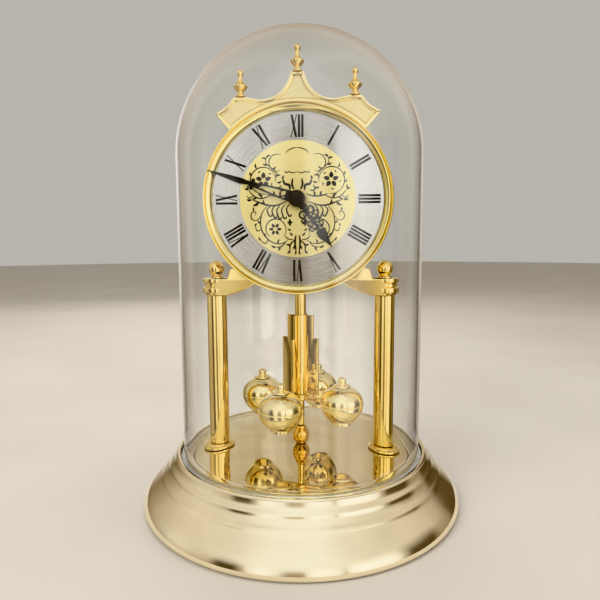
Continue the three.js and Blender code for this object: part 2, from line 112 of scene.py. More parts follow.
def put(tree, node, values):
    """Sets a node's inputs: a link from another node's output, or else the socket's own value."""
    for socket, value in values.items():
        if isinstance(value, bpy.types.NodeSocket):
            tree.links.new(value, node.inputs[socket])
        else:
            node.inputs[socket].default_value = value
    return node


def add(tree, kind, values=None, **settings):
    """A new shader node with its settings and inputs."""
    node = tree.nodes.new("ShaderNode" + kind)
    for name, value in settings.items():
        setattr(node, name, value)
    return put(tree, node, values or {})


def math_node(tree, operation, *values):
    return add(tree, "Math", dict(enumerate(values)), operation=operation).outputs[0]


def ramp_node(tree, source, stops):
    node = add(tree, "ValToRGB", {"Fac": source})
    elements = node.color_ramp.elements
    for index, (place, colour) in enumerate(stops):
        element = elements[index] if index < 2 else elements.new(place)
        element.position = place
        element.color = (*colour[:3], 1)
    return node.outputs["Color"]


def mix_colours(tree, factor, first, second, blend="MIX"):
    inputs = {"Factor": factor, "A": first, "B": second}
    return add(tree, "Mix", inputs, data_type="RGBA", blend_type=blend).outputs["Result"]


def mirrored_share(tree):
    """1 for a ray that a mirror sent on, or else 0."""
    return math_node(tree, "MINIMUM", add(tree, "LightPath").outputs["Glossy Depth"], 1)


# How bright the studio is towards each heading, from -X through -Y (the viewer's side) and +X to +Y.
STUDIO_WALLS = [
    (0, 0.8), (0.04, 0.8), (0.09, 0.65), (0.11, 0.12), (0.14, 0.1), (0.155, 0.55), (0.185, 2.1),
    (0.215, 1.1), (0.235, 0.45), (0.262, 0.5), (0.285, 2.5), (0.32, 1.6), (0.335, 0.5), (0.355, 3.4),
    (0.41, 2.6), (0.445, 0.7), (0.465, 0.14), (0.52, 0.12), (0.545, 0.48), (0.58, 0.44), (0.6, 0.13),
    (0.655, 0.15), (0.68, 0.8), (0.74, 0.5), (0.82, 1.1), (0.865, 0.3), (0.92, 0.5), (1, 0.8)]
# The same higher up, where the room is even and brightest on the viewer's side.
STUDIO_UPPER = [
    (0, 0.78), (0.12, 0.9), (0.2, 1.25), (0.3, 1.25), (0.38, 0.9), (0.5, 0.76), (0.62, 0.62), (0.75, 0.52),
    (0.88, 0.64), (1, 0.78)]
STUDIO_HEIGHT = [
    (0, (0.60, 0.54, 0.46)), (0.40, (0.62, 0.57, 0.50)), (0.50, (0.80, 0.77, 0.72)),
    (0.58, (0.90, 0.88, 0.85)), (0.90, (0.92, 0.91, 0.89)), (1, (0.70, 0.69, 0.68))]
WALL_COLOUR = (0.78, 0.75, 0.69, 1)
WALL_STRENGTH = 0.66
STUDIO_STRENGTH = 1.15


def warm_when_dim(stops, reach):
    """Colours for bright values are neutral, and for lower ones warm."""
    colours = []
    for place, value in stops:
        share = min(1, value / reach)
        colours.append((place, (value, value * (0.72 + 0.28 * share), value * (0.42 + 0.58 * share))))
    return colours


def make_world():
    """A plain pale room. Mirrored, it has the light and dark bands that give polished metal its contrast."""
    world = bpy.data.worlds.new("studio")
    bpy.context.scene.world = world
    world.use_nodes = True
    tree = world.node_tree
    tree.nodes.clear()
    x, y, z = add(tree, "SeparateXYZ", {0: add(tree, "TexCoord").outputs["Generated"]}).outputs
    height = math_node(tree, "MULTIPLY_ADD", z, 0.5, 0.5)
    around = math_node(tree, "MULTIPLY_ADD", math_node(tree, "ARCTAN2", y, x), 0.5 / pi, 0.5)
    inputs = {"Value": z, "From Min": 0.12, "From Max": 0.55}
    high = add(tree, "MapRange", inputs, interpolation_type="SMOOTHSTEP")
    walls = ramp_node(tree, around, warm_when_dim(STUDIO_WALLS, 1))
    upper = ramp_node(tree, around, warm_when_dim(STUDIO_UPPER, 1.12))
    around_colour = mix_colours(tree, high.outputs[0], walls, upper)
    bands = mix_colours(tree, 1, around_colour, ramp_node(tree, height, STUDIO_HEIGHT), "MULTIPLY")
    plain = add(tree, "Background", {"Color": WALL_COLOUR, "Strength": WALL_STRENGTH})
    studio = add(tree, "Background", {"Color": bands, "Strength": STUDIO_STRENGTH})
    mix = add(tree, "MixShader", {"Fac": mirrored_share(tree), 1: plain.outputs[0], 2: studio.outputs[0]})
    add(tree, "OutputWorld", {"Surface": mix.outputs[0]})


# ---- materials
def node_material(name):
    material = bpy.data.materials.new(name)
    material.use_nodes = True
    tree = material.node_tree
    tree.nodes.clear()
    shader = add(tree, "BsdfPrincipled")
    add(tree, "OutputMaterial", {"Surface": shader.outputs[0]})
    return material, tree, shader


def noise(tree, scale, stretch=(1, 1, 1), detail=4.0, roughness=0.5):
    """Noise in the piece's own coordinates, in bumps per metre. stretch squeezes it along each axis."""
    mapping = add(tree, "Mapping", {"Vector": add(tree, "TexCoord").outputs["Object"], "Scale": stretch})
    inputs = {"Vector": mapping.outputs[0], "Scale": scale, "Detail": detail, "Roughness": roughness}
    return add(tree, "TexNoise", inputs).outputs["Fac"]


def spread(tree, source, low, high):
    """Maps the middle of a noise to low ... high."""
    inputs = {"Value": source, "From Min": 0.3, "From Max": 0.7, "To Min": low, "To Max": high}
    return add(tree, "MapRange", inputs).outputs[0]


def blend_colours(tree, source, first, second):
    return ramp_node(tree, source, [(0.32, first), (0.68, second)])


def bump(tree, source, strength, distance_mm):
    """Relief for a shader's Normal."""
    inputs = {"Height": source, "Strength": strength, "Distance": distance_mm * MM}
    return add(tree, "Bump", inputs).outputs[0]


def shade(colour, factor):
    return tuple(min(1, c * factor) for c in colour)


def plated(name, colour, roughness, wear=0.03, grain=900, stretch=(1, 1, 1), bump_strength=0.04,
           bump_mm=0.01,
           metallic=1.0):
    """Plated metal: slow colour drift, fine polish marks in the roughness and a very shallow texture."""
    material, tree, shader = node_material(name)
    drift = noise(tree, 45, detail=2.0)
    marks = noise(tree, grain, stretch)
    put(tree, shader, {
        "Base Color": blend_colours(tree, drift, shade(colour, 0.94), shade(colour, 1.05)),
        "Roughness": spread(tree, marks, max(0, roughness - wear), roughness + wear),
        "Metallic": metallic, "Normal": bump(tree, marks, bump_strength, bump_mm)})
    return material


def spun_metal(name, colour, roughness, lines_per_metre, anisotropy):
    """Metal brushed in circles about the dial's centre: fine rings in its roughness, colour and surface."""
    material, tree, shader = node_material(name)
    centred = add(tree, "VectorMath", {0: add(tree, "TexCoord").outputs["Object"], 1: (0, 0, -DIAL_Z * MM)})
    x, _, z = add(tree, "SeparateXYZ", {0: centred.outputs[0]}).outputs
    squares = [math_node(tree, "POWER", way, 2) for way in (x, z)]
    radius = math_node(tree, "SQRT", math_node(tree, "ADD", *squares))
    heading = math_node(tree, "ARCTAN2", x, z)
    rings = add(tree, "CombineXYZ", {"X": math_node(tree, "MULTIPLY", radius, lines_per_metre),
                                     "Y": math_node(tree, "MULTIPLY", heading, 1.6)})
    inputs = {"Vector": rings.outputs[0], "Scale": 1, "Detail": 5, "Roughness": 0.65}
    marks = add(tree, "TexNoise", inputs).outputs["Fac"]
    tangent = add(tree, "Tangent", direction_type="RADIAL", axis="Y")
    put(tree, shader, {
        "Base Color": blend_colours(tree, marks, shade(colour, 0.90), shade(colour, 1.08)),
        "Roughness": spread(tree, marks, roughness - 0.06, roughness + 0.06),
        "Metallic": 1, "Anisotropic": anisotropy, "Anisotropic Rotation": 0.25,
        "Tangent": tangent.outputs[0], "Normal": bump(tree, marks, 0.35, 0.015)})
    return material


def plastic(name, colour, roughness, grain=2500, gloss=0.5, bump_mm=0.04):
    """A moulded, painted or printed surface: faint colour drift and a fine skin."""
    material, tree, shader = node_material(name)
    drift = noise(tree, 120, detail=3.0)
    skin = noise(tree, grain, detail=3.0)
    put(tree, shader, {
        "Base Color": blend_colours(tree, drift, shade(colour, 0.85), shade(colour, 1.15)),
        "Roughness": spread(tree, drift, roughness - 0.08, roughness + 0.08),
        "Specular IOR Level": gloss, "Normal": bump(tree, skin, 0.25, bump_mm)})
    return material


def see_through(tree, shader, share):
    """Makes the surface fully see-through for a share of the rays."""
    clear = add(tree, "BsdfTransparent")
    mix = add(tree, "MixShader", {"Fac": share, 1: shader.outputs[0], 2: clear.outputs[0]})
    output = next(n for n in tree.nodes if n.type == "OUTPUT_MATERIAL")
    put(tree, output, {"Surface": mix.outputs[0]})


def clear_glass():
    """Blown glass. Lamps shine through it, so what it covers is lit."""
    material, tree, shader = node_material("dome_glass")
    put(tree, shader, {"Base Color": (0.985, 0.995, 0.99, 1), "Transmission Weight": 1, "Roughness": 0,
                       "IOR": 1.46, "Normal": bump(tree, noise(tree, 22, detail=1.0), 0.08, 0.25)})
    see_through(tree, shader, add(tree, "LightPath").outputs["Is Shadow Ray"])
    return material


def felt():
    material, tree, shader = node_material("felt")
    fibres = noise(tree, 1800, detail=6.0, roughness=0.7)
    put(tree, shader, {
        "Base Color": blend_colours(tree, fibres, (0.03, 0.09, 0.05), (0.07, 0.20, 0.11)),
        "Roughness": 0.95, "Sheen Weight": 0.4, "Normal": bump(tree, fibres, 0.8, 0.3)})
    return material


MATERIALS = {
    "champagne": plated("champagne_plate", (0.90, 0.82, 0.60), 0.10, wear=0.02, grain=260,
                        bump_strength=0.015),
    "mirror": plated("mirror_plate", (0.86, 0.74, 0.46), 0.03, wear=0.015, grain=300, bump_strength=0.004),
    "gold": plated("yellow_gold_plate", (0.92, 0.71, 0.29), 0.06, wear=0.02),
    "deep_gold": plated("deep_gold_plate", (0.88, 0.56, 0.13), 0.07, wear=0.02),
    "pale_gold": plated("pale_gold_plate", (0.93, 0.81, 0.46), 0.06, wear=0.02),
    "bezel_gold": plated("bezel_gold_plate", (0.95, 0.82, 0.40), 0.10, wear=0.02),
    "crest_gold": plated("crest_edge_gold", (0.95, 0.81, 0.44), 0.12, wear=0.03),
    "satin_gold": plated("satin_gold_plate", (0.91, 0.79, 0.44), 0.30, wear=0.05, grain=2400,
                         bump_strength=0.12,
                         metallic=0.8),
    "dial_gold": plated("dial_gold", (0.91, 0.79, 0.36), 0.34, wear=0.05, grain=3000, bump_strength=0.10,
                        metallic=0.6),
    "silver": spun_metal("brushed_silver", (0.64, 0.64, 0.64), 0.24, 2600, 0.92),
    "steel": plated("machined_steel", (0.58, 0.58, 0.60), 0.28, wear=0.08, grain=1500),
    "copper": plated("winding_wire", (0.80, 0.36, 0.16), 0.30, wear=0.08, grain=1600, stretch=(0.2, 0.2, 4),
                     bump_strength=0.6, bump_mm=0.1),
    "black": plastic("black_lacquer", (0.004, 0.004, 0.005), 0.24, grain=6000, gloss=0.22, bump_mm=0.001),
    "ink": plastic("printed_black", (0.004, 0.004, 0.005), 0.6, grain=4000, gloss=0.1),
    "black_plastic": plastic("moulded_black", (0.022, 0.022, 0.024), 0.48),
    "white_plastic": plastic("moulded_white", (0.80, 0.79, 0.75), 0.42),
    "rubber": plastic("clear_grey_gasket", (0.42, 0.41, 0.38), 0.45),
    "board": plastic("lacquered_board", (0.03, 0.20, 0.09), 0.35),
    "battery": plastic("cell_sleeve", (0.10, 0.16, 0.24), 0.28, grain=3000),
    "felt": felt(),
    "glass": clear_glass(),
}


# ---- mesh tools
def finish_piece(name, mesh, body, material, nodes=(), sharp=35):
    """Makes a mesh in millimetres a smooth-shaded piece that rides on a body and stands for CAD nodes."""
    mesh.transform(Matrix.Scale(MM, 4))
    builder = bmesh.new()
    builder.from_mesh(mesh)
    bmesh.ops.remove_doubles(builder, verts=builder.verts, dist=1e-7)
    bmesh.ops.recalc_face_normals(builder, faces=builder.faces)
    builder.to_mesh(mesh)
    builder.free()
    mesh.shade_smooth()
    mesh.set_sharp_from_angle(angle=radians(sharp))
    piece = new_object(name, mesh)
    mesh.materials.append(MATERIALS[material])
    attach(piece, body)
    if nodes:
        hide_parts(*nodes)
    return piece


def arc(x, y, radius, start, end, steps=10):
    """Points of an arc, with its angles in degrees."""
    angles = [radians(start + (end - start) * i / steps) for i in range(steps + 1)]
    return [(x + radius * cos(a), y + radius * sin(a)) for a in angles]


def smooth_line(points, steps):
    """A Catmull-Rom curve through the points."""
    last = len(points) - 1
    line = []
    for i in range(last):
        a, b, c, d = (Vector(points[min(max(i + k - 1, 0), last)]) for k in range(4))
        for step in range(steps):
            t = step / steps
            line.append(tuple(0.5 * (2 * b + (c - a) * t + (2 * a - 5 * b + 4 * c - d) * t**2
                                     + (3 * b - a - 3 * c + d) * t**3)))
    return line + [tuple(points[-1])]


def rounded(points, radius, closed=False, steps=4):
    """Rounds the corners of a line. Short edges get a smaller radius, and ends on the axis stay sharp."""
    count = len(points)
    line = []
    for i, point in enumerate(points):
        here = Vector(point)
        if not closed and i in (0, count - 1):
            line.append(tuple(here))
            continue
        before = Vector(points[i - 1])
        after = Vector(points[(i + 1) % count])
        reach = min(radius, 0.45 * (before - here).length, 0.45 * (after - here).length)
        start = here + (before - here).normalized() * reach
        end = here + (after - here).normalized() * reach
        for step in range(steps + 1):
            t = step / steps
            line.append(tuple(start * (1 - t) ** 2 + here * 2 * t * (1 - t) + end * t**2))
    return line


def bridge(builder, lower, upper):
    """Faces between two rings of points. A ring of one point makes a fan."""
    count = max(len(lower), len(upper))
    for i in range(count):
        j = (i + 1) % count
        corners = [ring[k % len(ring)] for ring, k in ((lower, i), (lower, j), (upper, j), (upper, i))]
        corners = list(dict.fromkeys(corners))
        if len(corners) > 2:
            builder.faces.new(corners)


ON_AXIS = 1e-4  # a smaller radius than this, in millimetres, counts as none


def spin(profile, segments=96, fillet=0.0, closed=None):
    """A mesh turned about Z from (radius, height) points. A profile that starts off the axis is closed."""
    if closed is None:
        closed = profile[0][0] > ON_AXIS
    if fillet:
        profile = rounded(profile, fillet, closed)
    builder = bmesh.new()
    rings = []
    for radius, height in profile:
        if radius < ON_AXIS:
            rings.append([builder.verts.new((0, 0, height))])
            continue
        angles = [2 * pi * i / segments for i in range(segments)]
        rings.append([builder.verts.new((radius * cos(a), radius * sin(a), height)) for a in angles])
    if closed:
        rings.append(rings[0])
    for lower, upper in zip(rings, rings[1:]):
        bridge(builder, lower, upper)
    return mesh_from(builder, "turned")


def node_axis(node):
    """Centre of a node's box in X and Y, and its bottom, in millimetres."""
    low, high = box_mm(node)
    return Vector(((low.x + high.x) / 2, (low.y + high.y) / 2, low.z))


def placed(mesh, place=(0, 0, 0), turn=Matrix.Identity(4)):
    """Turns the mesh about the origin, then moves it."""
    mesh.transform(Matrix.Translation(place) @ turn)
    return mesh


def turned(name, node, profile, material="gold", body="root", fillet=0.25, segments=96):
    """A piece turned about its node's upright axis. Heights are measured from the node's bottom."""
    mesh = placed(spin(profile, segments, fillet), node_axis(node))
    finish_piece(name, mesh, body, material, [node])


TO_FRONT = Matrix.Rotation(pi / 2, 4, "X")  # a height along +Z becomes a distance along -Y


def faced(name, node, profile, material="gold", body="root", fillet=0.15, segments=160):
    """A piece turned about the dial's axis. Heights are measured forward from the node's back."""
    mesh = placed(spin(profile, segments, fillet), (0, box_mm(node)[1].y, DIAL_Z), TO_FRONT)
    finish_piece(name, mesh, body, material, [node])


def prism(builder, outline, back, front):
    """Adds a flat closed solid: an outline in X and Z, from y = -back to y = -front."""
    rear = [builder.verts.new((x, -back, z)) for x, z in outline]
    face = [builder.verts.new((x, -front, z)) for x, z in outline]
    builder.faces.new(rear[::-1])
    builder.faces.new(face)
    bridge(builder, rear, face)


def ribbon(builder, line, width, back, front):
    """Adds a flat stroke along a line as a closed solid. width is a function of the way along, 0 to 1."""
    sections = []
    for i, point in enumerate(line):
        along = (Vector(line[min(i + 1, len(line) - 1)]) - Vector(line[max(i - 1, 0)])).normalized()
        across = Vector((-along.y, along.x)) * width(i / (len(line) - 1)) / 2
        (lx, lz), (rx, rz) = Vector(point) + across, Vector(point) - across
        corners = [(lx, -back, lz), (lx, -front, lz), (rx, -front, rz), (rx, -back, rz)]
        sections.append([builder.verts.new(c) for c in corners])
    for first, second in zip(sections, sections[1:]):
        bridge(builder, first, second)
    builder.faces.new(sections[0])
    builder.faces.new(sections[-1][::-1])


def mesh_from(builder, name):
    mesh = bpy.data.meshes.new(name)
    builder.to_mesh(mesh)
    builder.free()
    return mesh


def flat_mesh(loops, back, front, bevel=0.0):
    """A flat closed solid with softened edges, from outlines in X and Z. back and front are along -Y."""
    thickness = front - back
    curve = bpy.data.curves.new("outline", "CURVE")
    curve.dimensions = "2D"
    curve.fill_mode = "BOTH"
    curve.extrude = thickness / 2 - bevel
    curve.bevel_depth = bevel
    curve.bevel_resolution = 2
    curve.offset = -bevel
    for loop in loops:
        spline = curve.splines.new("POLY")
        spline.points.add(len(loop) - 1)
        for point, (x, z) in zip(spline.points, loop):
            point.co = (x, z, 0, 1)
        spline.use_cyclic_u = True
    holder = new_object("outline", curve)
    graph = bpy.context.evaluated_depsgraph_get()
    mesh = bpy.data.meshes.new_from_object(holder.evaluated_get(graph))
    bpy.data.objects.remove(holder)
    bpy.data.curves.remove(curve)
    return placed(mesh, (0, -(back + front) / 2, 0), TO_FRONT)


def joined(*meshes):
    builder = bmesh.new()
    for mesh in meshes:
        builder.from_mesh(mesh)
    return mesh_from(builder, "joined")


def circle(x, z, radius, steps=48):
    return arc(x, z, radius, 0, 360, steps)[:-1]


def rounded_box(x, z, radius):
    """Outline of a rectangle in X and Z with round corners."""
    corners = [(x[0], z[0]), (x[1], z[0]), (x[1], z[1]), (x[0], z[1])]
    return rounded(corners, radius, closed=True, steps=6)


# ---- base
# Outside of the base from the rim down to the foot, before its two ripples.
BASE_FLANK = [
    (80, 30.6), (81.3, 27.4), (83.4, 24.2), (85.6, 21.2), (88.1, 18.2), (91.1, 15.2), (94.2, 12.1),
    (96.7, 9.4), (98.6, 6.6), (99.7, 4.2), (100, 2.6), (99.6, 1.1), (98.8, 0)]
RIPPLE_HEIGHTS = (25.4, 19.2)
RIPPLE_SIZE = 0.55
RIPPLE_SPREAD = 1.35
BASE_TOP = [
    (2, 29.8), (66.9, 29.8), (66.9, 31.2), (67.4, 31.7), (71.6, 31.7), (71.6, 28.4), (77.3, 28.4),
    (77.3, 31.7), (78.9, 31.7), (79.3, 31)]
BASE_INSIDE = [
    (97.2, 0), (97.6, 3.9), (92.6, 11.5), (84, 20.1), (78.6, 26.9), (69, 26.9), (68, 28.1), (2, 28.1)]


def rippled_flank():
    line = []
    for radius, height in smooth_line(BASE_FLANK, 8):
        swell = sum(exp(-((height - crest) / RIPPLE_SPREAD) ** 2) for crest in RIPPLE_HEIGHTS)
        line.append((radius + RIPPLE_SIZE * swell, height))
    return line


def make_base():
    profile = rounded(BASE_TOP, 0.3) + rippled_flank() + BASE_INSIDE
    turned("base_moulding", "base_shell", profile, "champagne", fillet=0, segments=192)
    plate = [(1.7, 0), (66.6, 0), (66.6, 1.4), (1.7, 1.4)]
    turned("mirror_plate", "platform_plate", plate, "mirror", fillet=0.3, segments=192)
    ring = [(72.2, 0), (76.8, 0), (76.8, 0.8), (72.2, 0.8)]
    turned("gasket_ring", "dome_gasket", ring, "rubber", fillet=0.3, segments=128)
    pad = [(84, 0), (94.5, 0), (94.5, 1.2), (84, 1.2)]
    turned("felt_pad", "felt_ring", pad, "felt", fillet=0.45, segments=128)
    cover = [
        (0, 0), (18, 0), (19, 0.5), (34, 0.5), (35, 0), (76, 0), (77, 0.4), (82, 0.4), (83, 0), (95.4, 0),
        (95.4, 2), (0, 2)]
    turned("underside_cover", "bottom_cover", cover, "black_plastic", fillet=0.4, segments=128)
    for i in (1, 2, 3):
        make_cover_screw(i)


def make_cover_screw(i):
    """A screw seen from below, with a cross-shaped recess in its head."""
    node = f"cover_screw_{i}"
    shank = spin([(0, 0.7), (2.75, 0.7), (2.8, 0.9), (1.3, 0.9), (1.3, 10.7), (0.5, 11.7), (0, 11.7)], 48)
    quarter = [(0.4, 1.5), (0.4, 0.4), (1.5, 0.4)]
    cross = [(x * a - y * b, x * b + y * a) for a, b in ((1, 0), (0, -1), (-1, 0), (0, 1)) for x,
             y in quarter]
    head = flat_mesh([circle(0, 0, 2.7), cross], 0, 0.75, bevel=0.12)
    head.transform(TO_FRONT.inverted())
    mesh = placed(joined(shank, head), node_axis(node))
    finish_piece(f"cover_screw_head_{i}", mesh, "root", "steel", [node])


# ---- dome
DOME_OUTER = 75
DOME_WALL = 2.0
DOME_SHOULDER = 183.2  # height of the hemisphere's centre above the rim


def make_dome():
    """A blown glass dome: straight wall, round top and a fire-polished rim."""
    inner = DOME_OUTER - DOME_WALL
    rim = arc(inner + DOME_WALL / 2, DOME_WALL / 2, DOME_WALL / 2, 180, 360, 8)
    top_inside = arc(0, DOME_SHOULDER, inner, 90, 0, 40)
    top_outside = arc(0, DOME_SHOULDER, DOME_OUTER, 0, 90, 40)
    wall = [DOME_SHOULDER * i / 8 for i in range(7, 0, -1)]
    profile = top_inside + [(inner, z) for z in wall] + rim + [(DOME_OUTER,
                                                                z) for z in wall[::-1]] + top_outside
    turned("clear_dome", "glass_dome", profile, "glass", body="dome", fillet=0, segments=160)


# ---- columns and brackets
CAPITAL = [
    (2.3, 0), (6.9, 0), (7.2, 0.5), (8.8, 1.9), (8.8, 4.7), (7.6, 5.4), (7.6, 7.4), (8.8, 8.1), (8.8, 10.5),
    (2.3, 10.5)]
BRACKET_ARM = [
    (52.7, 130), (44, 130), (35, 133), (28.6, 136.2), (24.2, 140.8), (24.8, 143.5), (30, 151.5), (34, 149.6),
    (42.6, 146), (44.5, 140.3), (52.7, 140.3)]
CASE_CLEARANCE = 53.3


def above_case(x, z):
    """Moves a point that is inside the case's circle out to that circle."""
    offset = Vector((x, z - DIAL_Z))
    if offset.length < CASE_CLEARANCE:
        offset = offset.normalized() * CASE_CLEARANCE
    return offset.x, offset.y + DIAL_Z


def make_bracket(label, side):
    node = f"bracket_{label}"
    outline = [(-px, pz) for px, pz in (above_case(*p) for p in fine_line(BRACKET_ARM, 1.5))]
    arm = flat_mesh([outline], 3, 13.5, bevel=0.7)
    if side > 0:
        arm.transform(Matrix.Scale(-1, 4, (1, 0, 0)))
    low = box_mm(node)[0].z
    column = node_axis(f"column_tube_{label}")
    capital = placed(spin(CAPITAL, fillet=0.35), (column.x, column.y, low))
    finish_piece(f"capital_{label}", joined(capital, arm), "root", "gold", [node])


def fine_line(points, step):
    """The closed line through the points, cut into steps no longer than step."""
    line = []
    for i, point in enumerate(points):
        here, there = Vector(point), Vector(points[(i + 1) % len(points)])
        count = max(1, ceil((there - here).length / step))
        line += [tuple(here.lerp(there, k / count)) for k in range(count)]
    return line


def make_columns():
    foot = [(2.3, 0), (9.6, 0), (9.6, 1), (8.6, 1.3), (8.1, 2), (2.3, 2)]
    tube = [(4.8, 0), (6.3, 0), (6.3, 94.9), (4.8, 94.9)]
    ball = [(0, 5.4), (2.3, 5.4), (2.3, 0), (4.6, 0), (4.6, 0.7), (3.2, 1.3)] + arc(0, 5.7, 5.05, -50, 90,
                                                                                    24)
    for label, side in (("left", -1), ("right", 1)):
        turned(f"foot_disc_{label}", f"column_foot_{label}", foot)
        turned(f"pillar_{label}", f"column_tube_{label}", tube)
        turned(f"pillar_ball_{label}", f"column_ball_{label}", ball, fillet=0)
        make_bracket(label, side)


# ---- case, dial and bezel
def make_head():
    case = [(50, 0), (53, 0), (53, 17.3), (50, 17.3)]
    faced("case_band", "case_ring", case, fillet=0.4)
    # from the back edge forward: a plain band, a bead, a groove, and a wide cove down to the dial
    bezel = [
        (53.3, 0), (54.9, 0), (55, 0.4), (55, 4.5), (54.85, 5.2), (54.45, 5.5), (54.05, 5.3), (53.55, 4.15),
        (53.1, 5.6), (52.9, 6.3), (52.5, 6.6), (52, 6.6), (51.2, 6.1), (50.4, 5.4), (49.8, 4.7), (49.4, 4),
        (53.3, 4)]
    faced("bezel_ring", "bezel", bezel, "bezel_gold", fillet=0.08, segments=192)
    plate = [(4.3, 0), (52.8, 0), (52.8, 1), (4.3, 1)]
    faced("silver_ring", "dial_plate", plate, "silver", segments=192)
    centre = [(4.3, 0), (33.3, 0), (33.3, 0.4), (4.3, 0.4)]
    faced("gold_centre", "dial_centre", centre, "dial_gold")
    window = MOVEMENT_HALF + 0.3
    hole = rounded_box((-window, window), (DIAL_Z - window, DIAL_Z + window), 1.5)
    disc = flat_mesh([circle(0, DIAL_Z, 49.7, 128), hole], 7, 8.2, bevel=0.25)
    finish_piece("back_disc", disc, "root", "gold", ["back_ring"])


NUMERALS = ["XII", "I", "II", "III", "IIII", "V", "VI", "VII", "VIII", "IX", "X", "XI"]
NUMERAL_FOOT = 35.0
NUMERAL_TOP = 47.4
THICK = 1.3
THIN = 0.5
BAR_PITCH = 1.9
DIAGONAL_SPAN = 3.4
LETTER_GAP = 0.75
SERIF = 0.22
PRINT = 0.05  # how far the printing stands above the dial
SUNK = 0.02  # and reaches into it


def stroke(start, end, width):
    """A straight stroke of a numeral. Its ends stay level, so width is measured along X."""
    (ax, az), (bx, bz) = start, end
    half = width / 2
    return [(ax - half, az), (ax + half, az), (bx + half, bz), (bx - half, bz)]


def numeral_strokes(text):
    """Strokes of a Roman numeral, from its foot to its top and from x = 0, and its width."""
    height = NUMERAL_TOP - NUMERAL_FOOT
    strokes, cursor = [], 0.0

    def serifs(extra, ends):
        strokes.extend(stroke((x, z), (x, z + SERIF), THICK + extra) for x, z in ends)

    for letter in text:
        if letter == "I":
            middle = cursor + THICK / 2
            strokes.append(stroke((middle, 0), (middle, height), THICK))
            serifs(0.5, [(middle, 0), (middle, height - SERIF)])
            cursor += BAR_PITCH
            continue
        left, right = cursor + 0.3, cursor + DIAGONAL_SPAN
        tops = [(left + 0.3, height - SERIF), (right - 0.2, height - SERIF)]
        if letter == "V":
            middle = (left + right) / 2
            strokes.append(stroke((middle, 0), (left + 0.3, height), THICK))
            strokes.append(stroke((middle, 0), (right - 0.2, height), THIN))
            serifs(0.6, tops)
        else:
            strokes.append(stroke((right - 0.3, 0), (left + 0.3, height), THICK))
            strokes.append(stroke((left, 0), (right, height), THIN))
            serifs(0.5, tops + [(left, 0), (right - 0.2, 0)])
        cursor += DIAGONAL_SPAN + LETTER_GAP
    return strokes, cursor - (BAR_PITCH - THICK if text[-1] == "I" else LETTER_GAP)


def make_numerals():
    builder = bmesh.new()
    face = -box_mm("dial_plate")[0].y
    for hour, text in enumerate(NUMERALS):
        strokes, width = numeral_strokes(text)
        angle = radians(30 * hour)
        for number, outline in enumerate(strokes):
            turned_outline = []
            for x, z in outline:
                across, out = x - width / 2, z + NUMERAL_FOOT
                turned_outline.append((across * cos(angle) + out * sin(angle),
                                       DIAL_Z - across * sin(angle) + out * cos(angle)))
            prism(builder, turned_outline, face - SUNK, face + PRINT + 0.002 * number)
    mesh = mesh_from(builder, "numerals")
    finish_piece("dial_numerals", mesh, "root", "ink", sharp=20)


# ---- dial ornament
def spiral(x, z, start_radius, end_radius, start, end, steps=22):
    """Points of a scroll whose radius shrinks as it turns. Angles are in degrees."""
    points = []
    for i in range(steps + 1):
        t = i / steps
        radius = start_radius + (end_radius - start_radius) * t
        angle = radians(start + (end - start) * t)
        points.append((x + radius * cos(angle), z + radius * sin(angle)))
    return points


def taper(width):
    """Width of a stroke: thin ends and a full middle."""
    return lambda t: width * (0.25 + 0.75 * sin(pi * min(max(t, 0), 1)) ** 0.6)


def leaf_shape(x, z, heading, length, width, curl):
    """Outline of a pointed leaf from its stem at (x, z), bending to one side."""
    left, right = [], []
    for i in range(9):
        t = i / 8
        bend = radians(heading + 60 * curl * t * t)
        cx, cz = x + length * t * cos(bend), z + length * t * sin(bend)
        half = width / 2 * sin(pi * t ** 0.8) ** 0.75
        left.append((cx - half * sin(bend), cz + half * cos(bend)))
        right.append((cx + half * sin(bend), cz - half * cos(bend)))
    return left[:-1] + right[:0:-1]


def vine(width, *points, steps=6):
    return smooth_line(points, steps), width


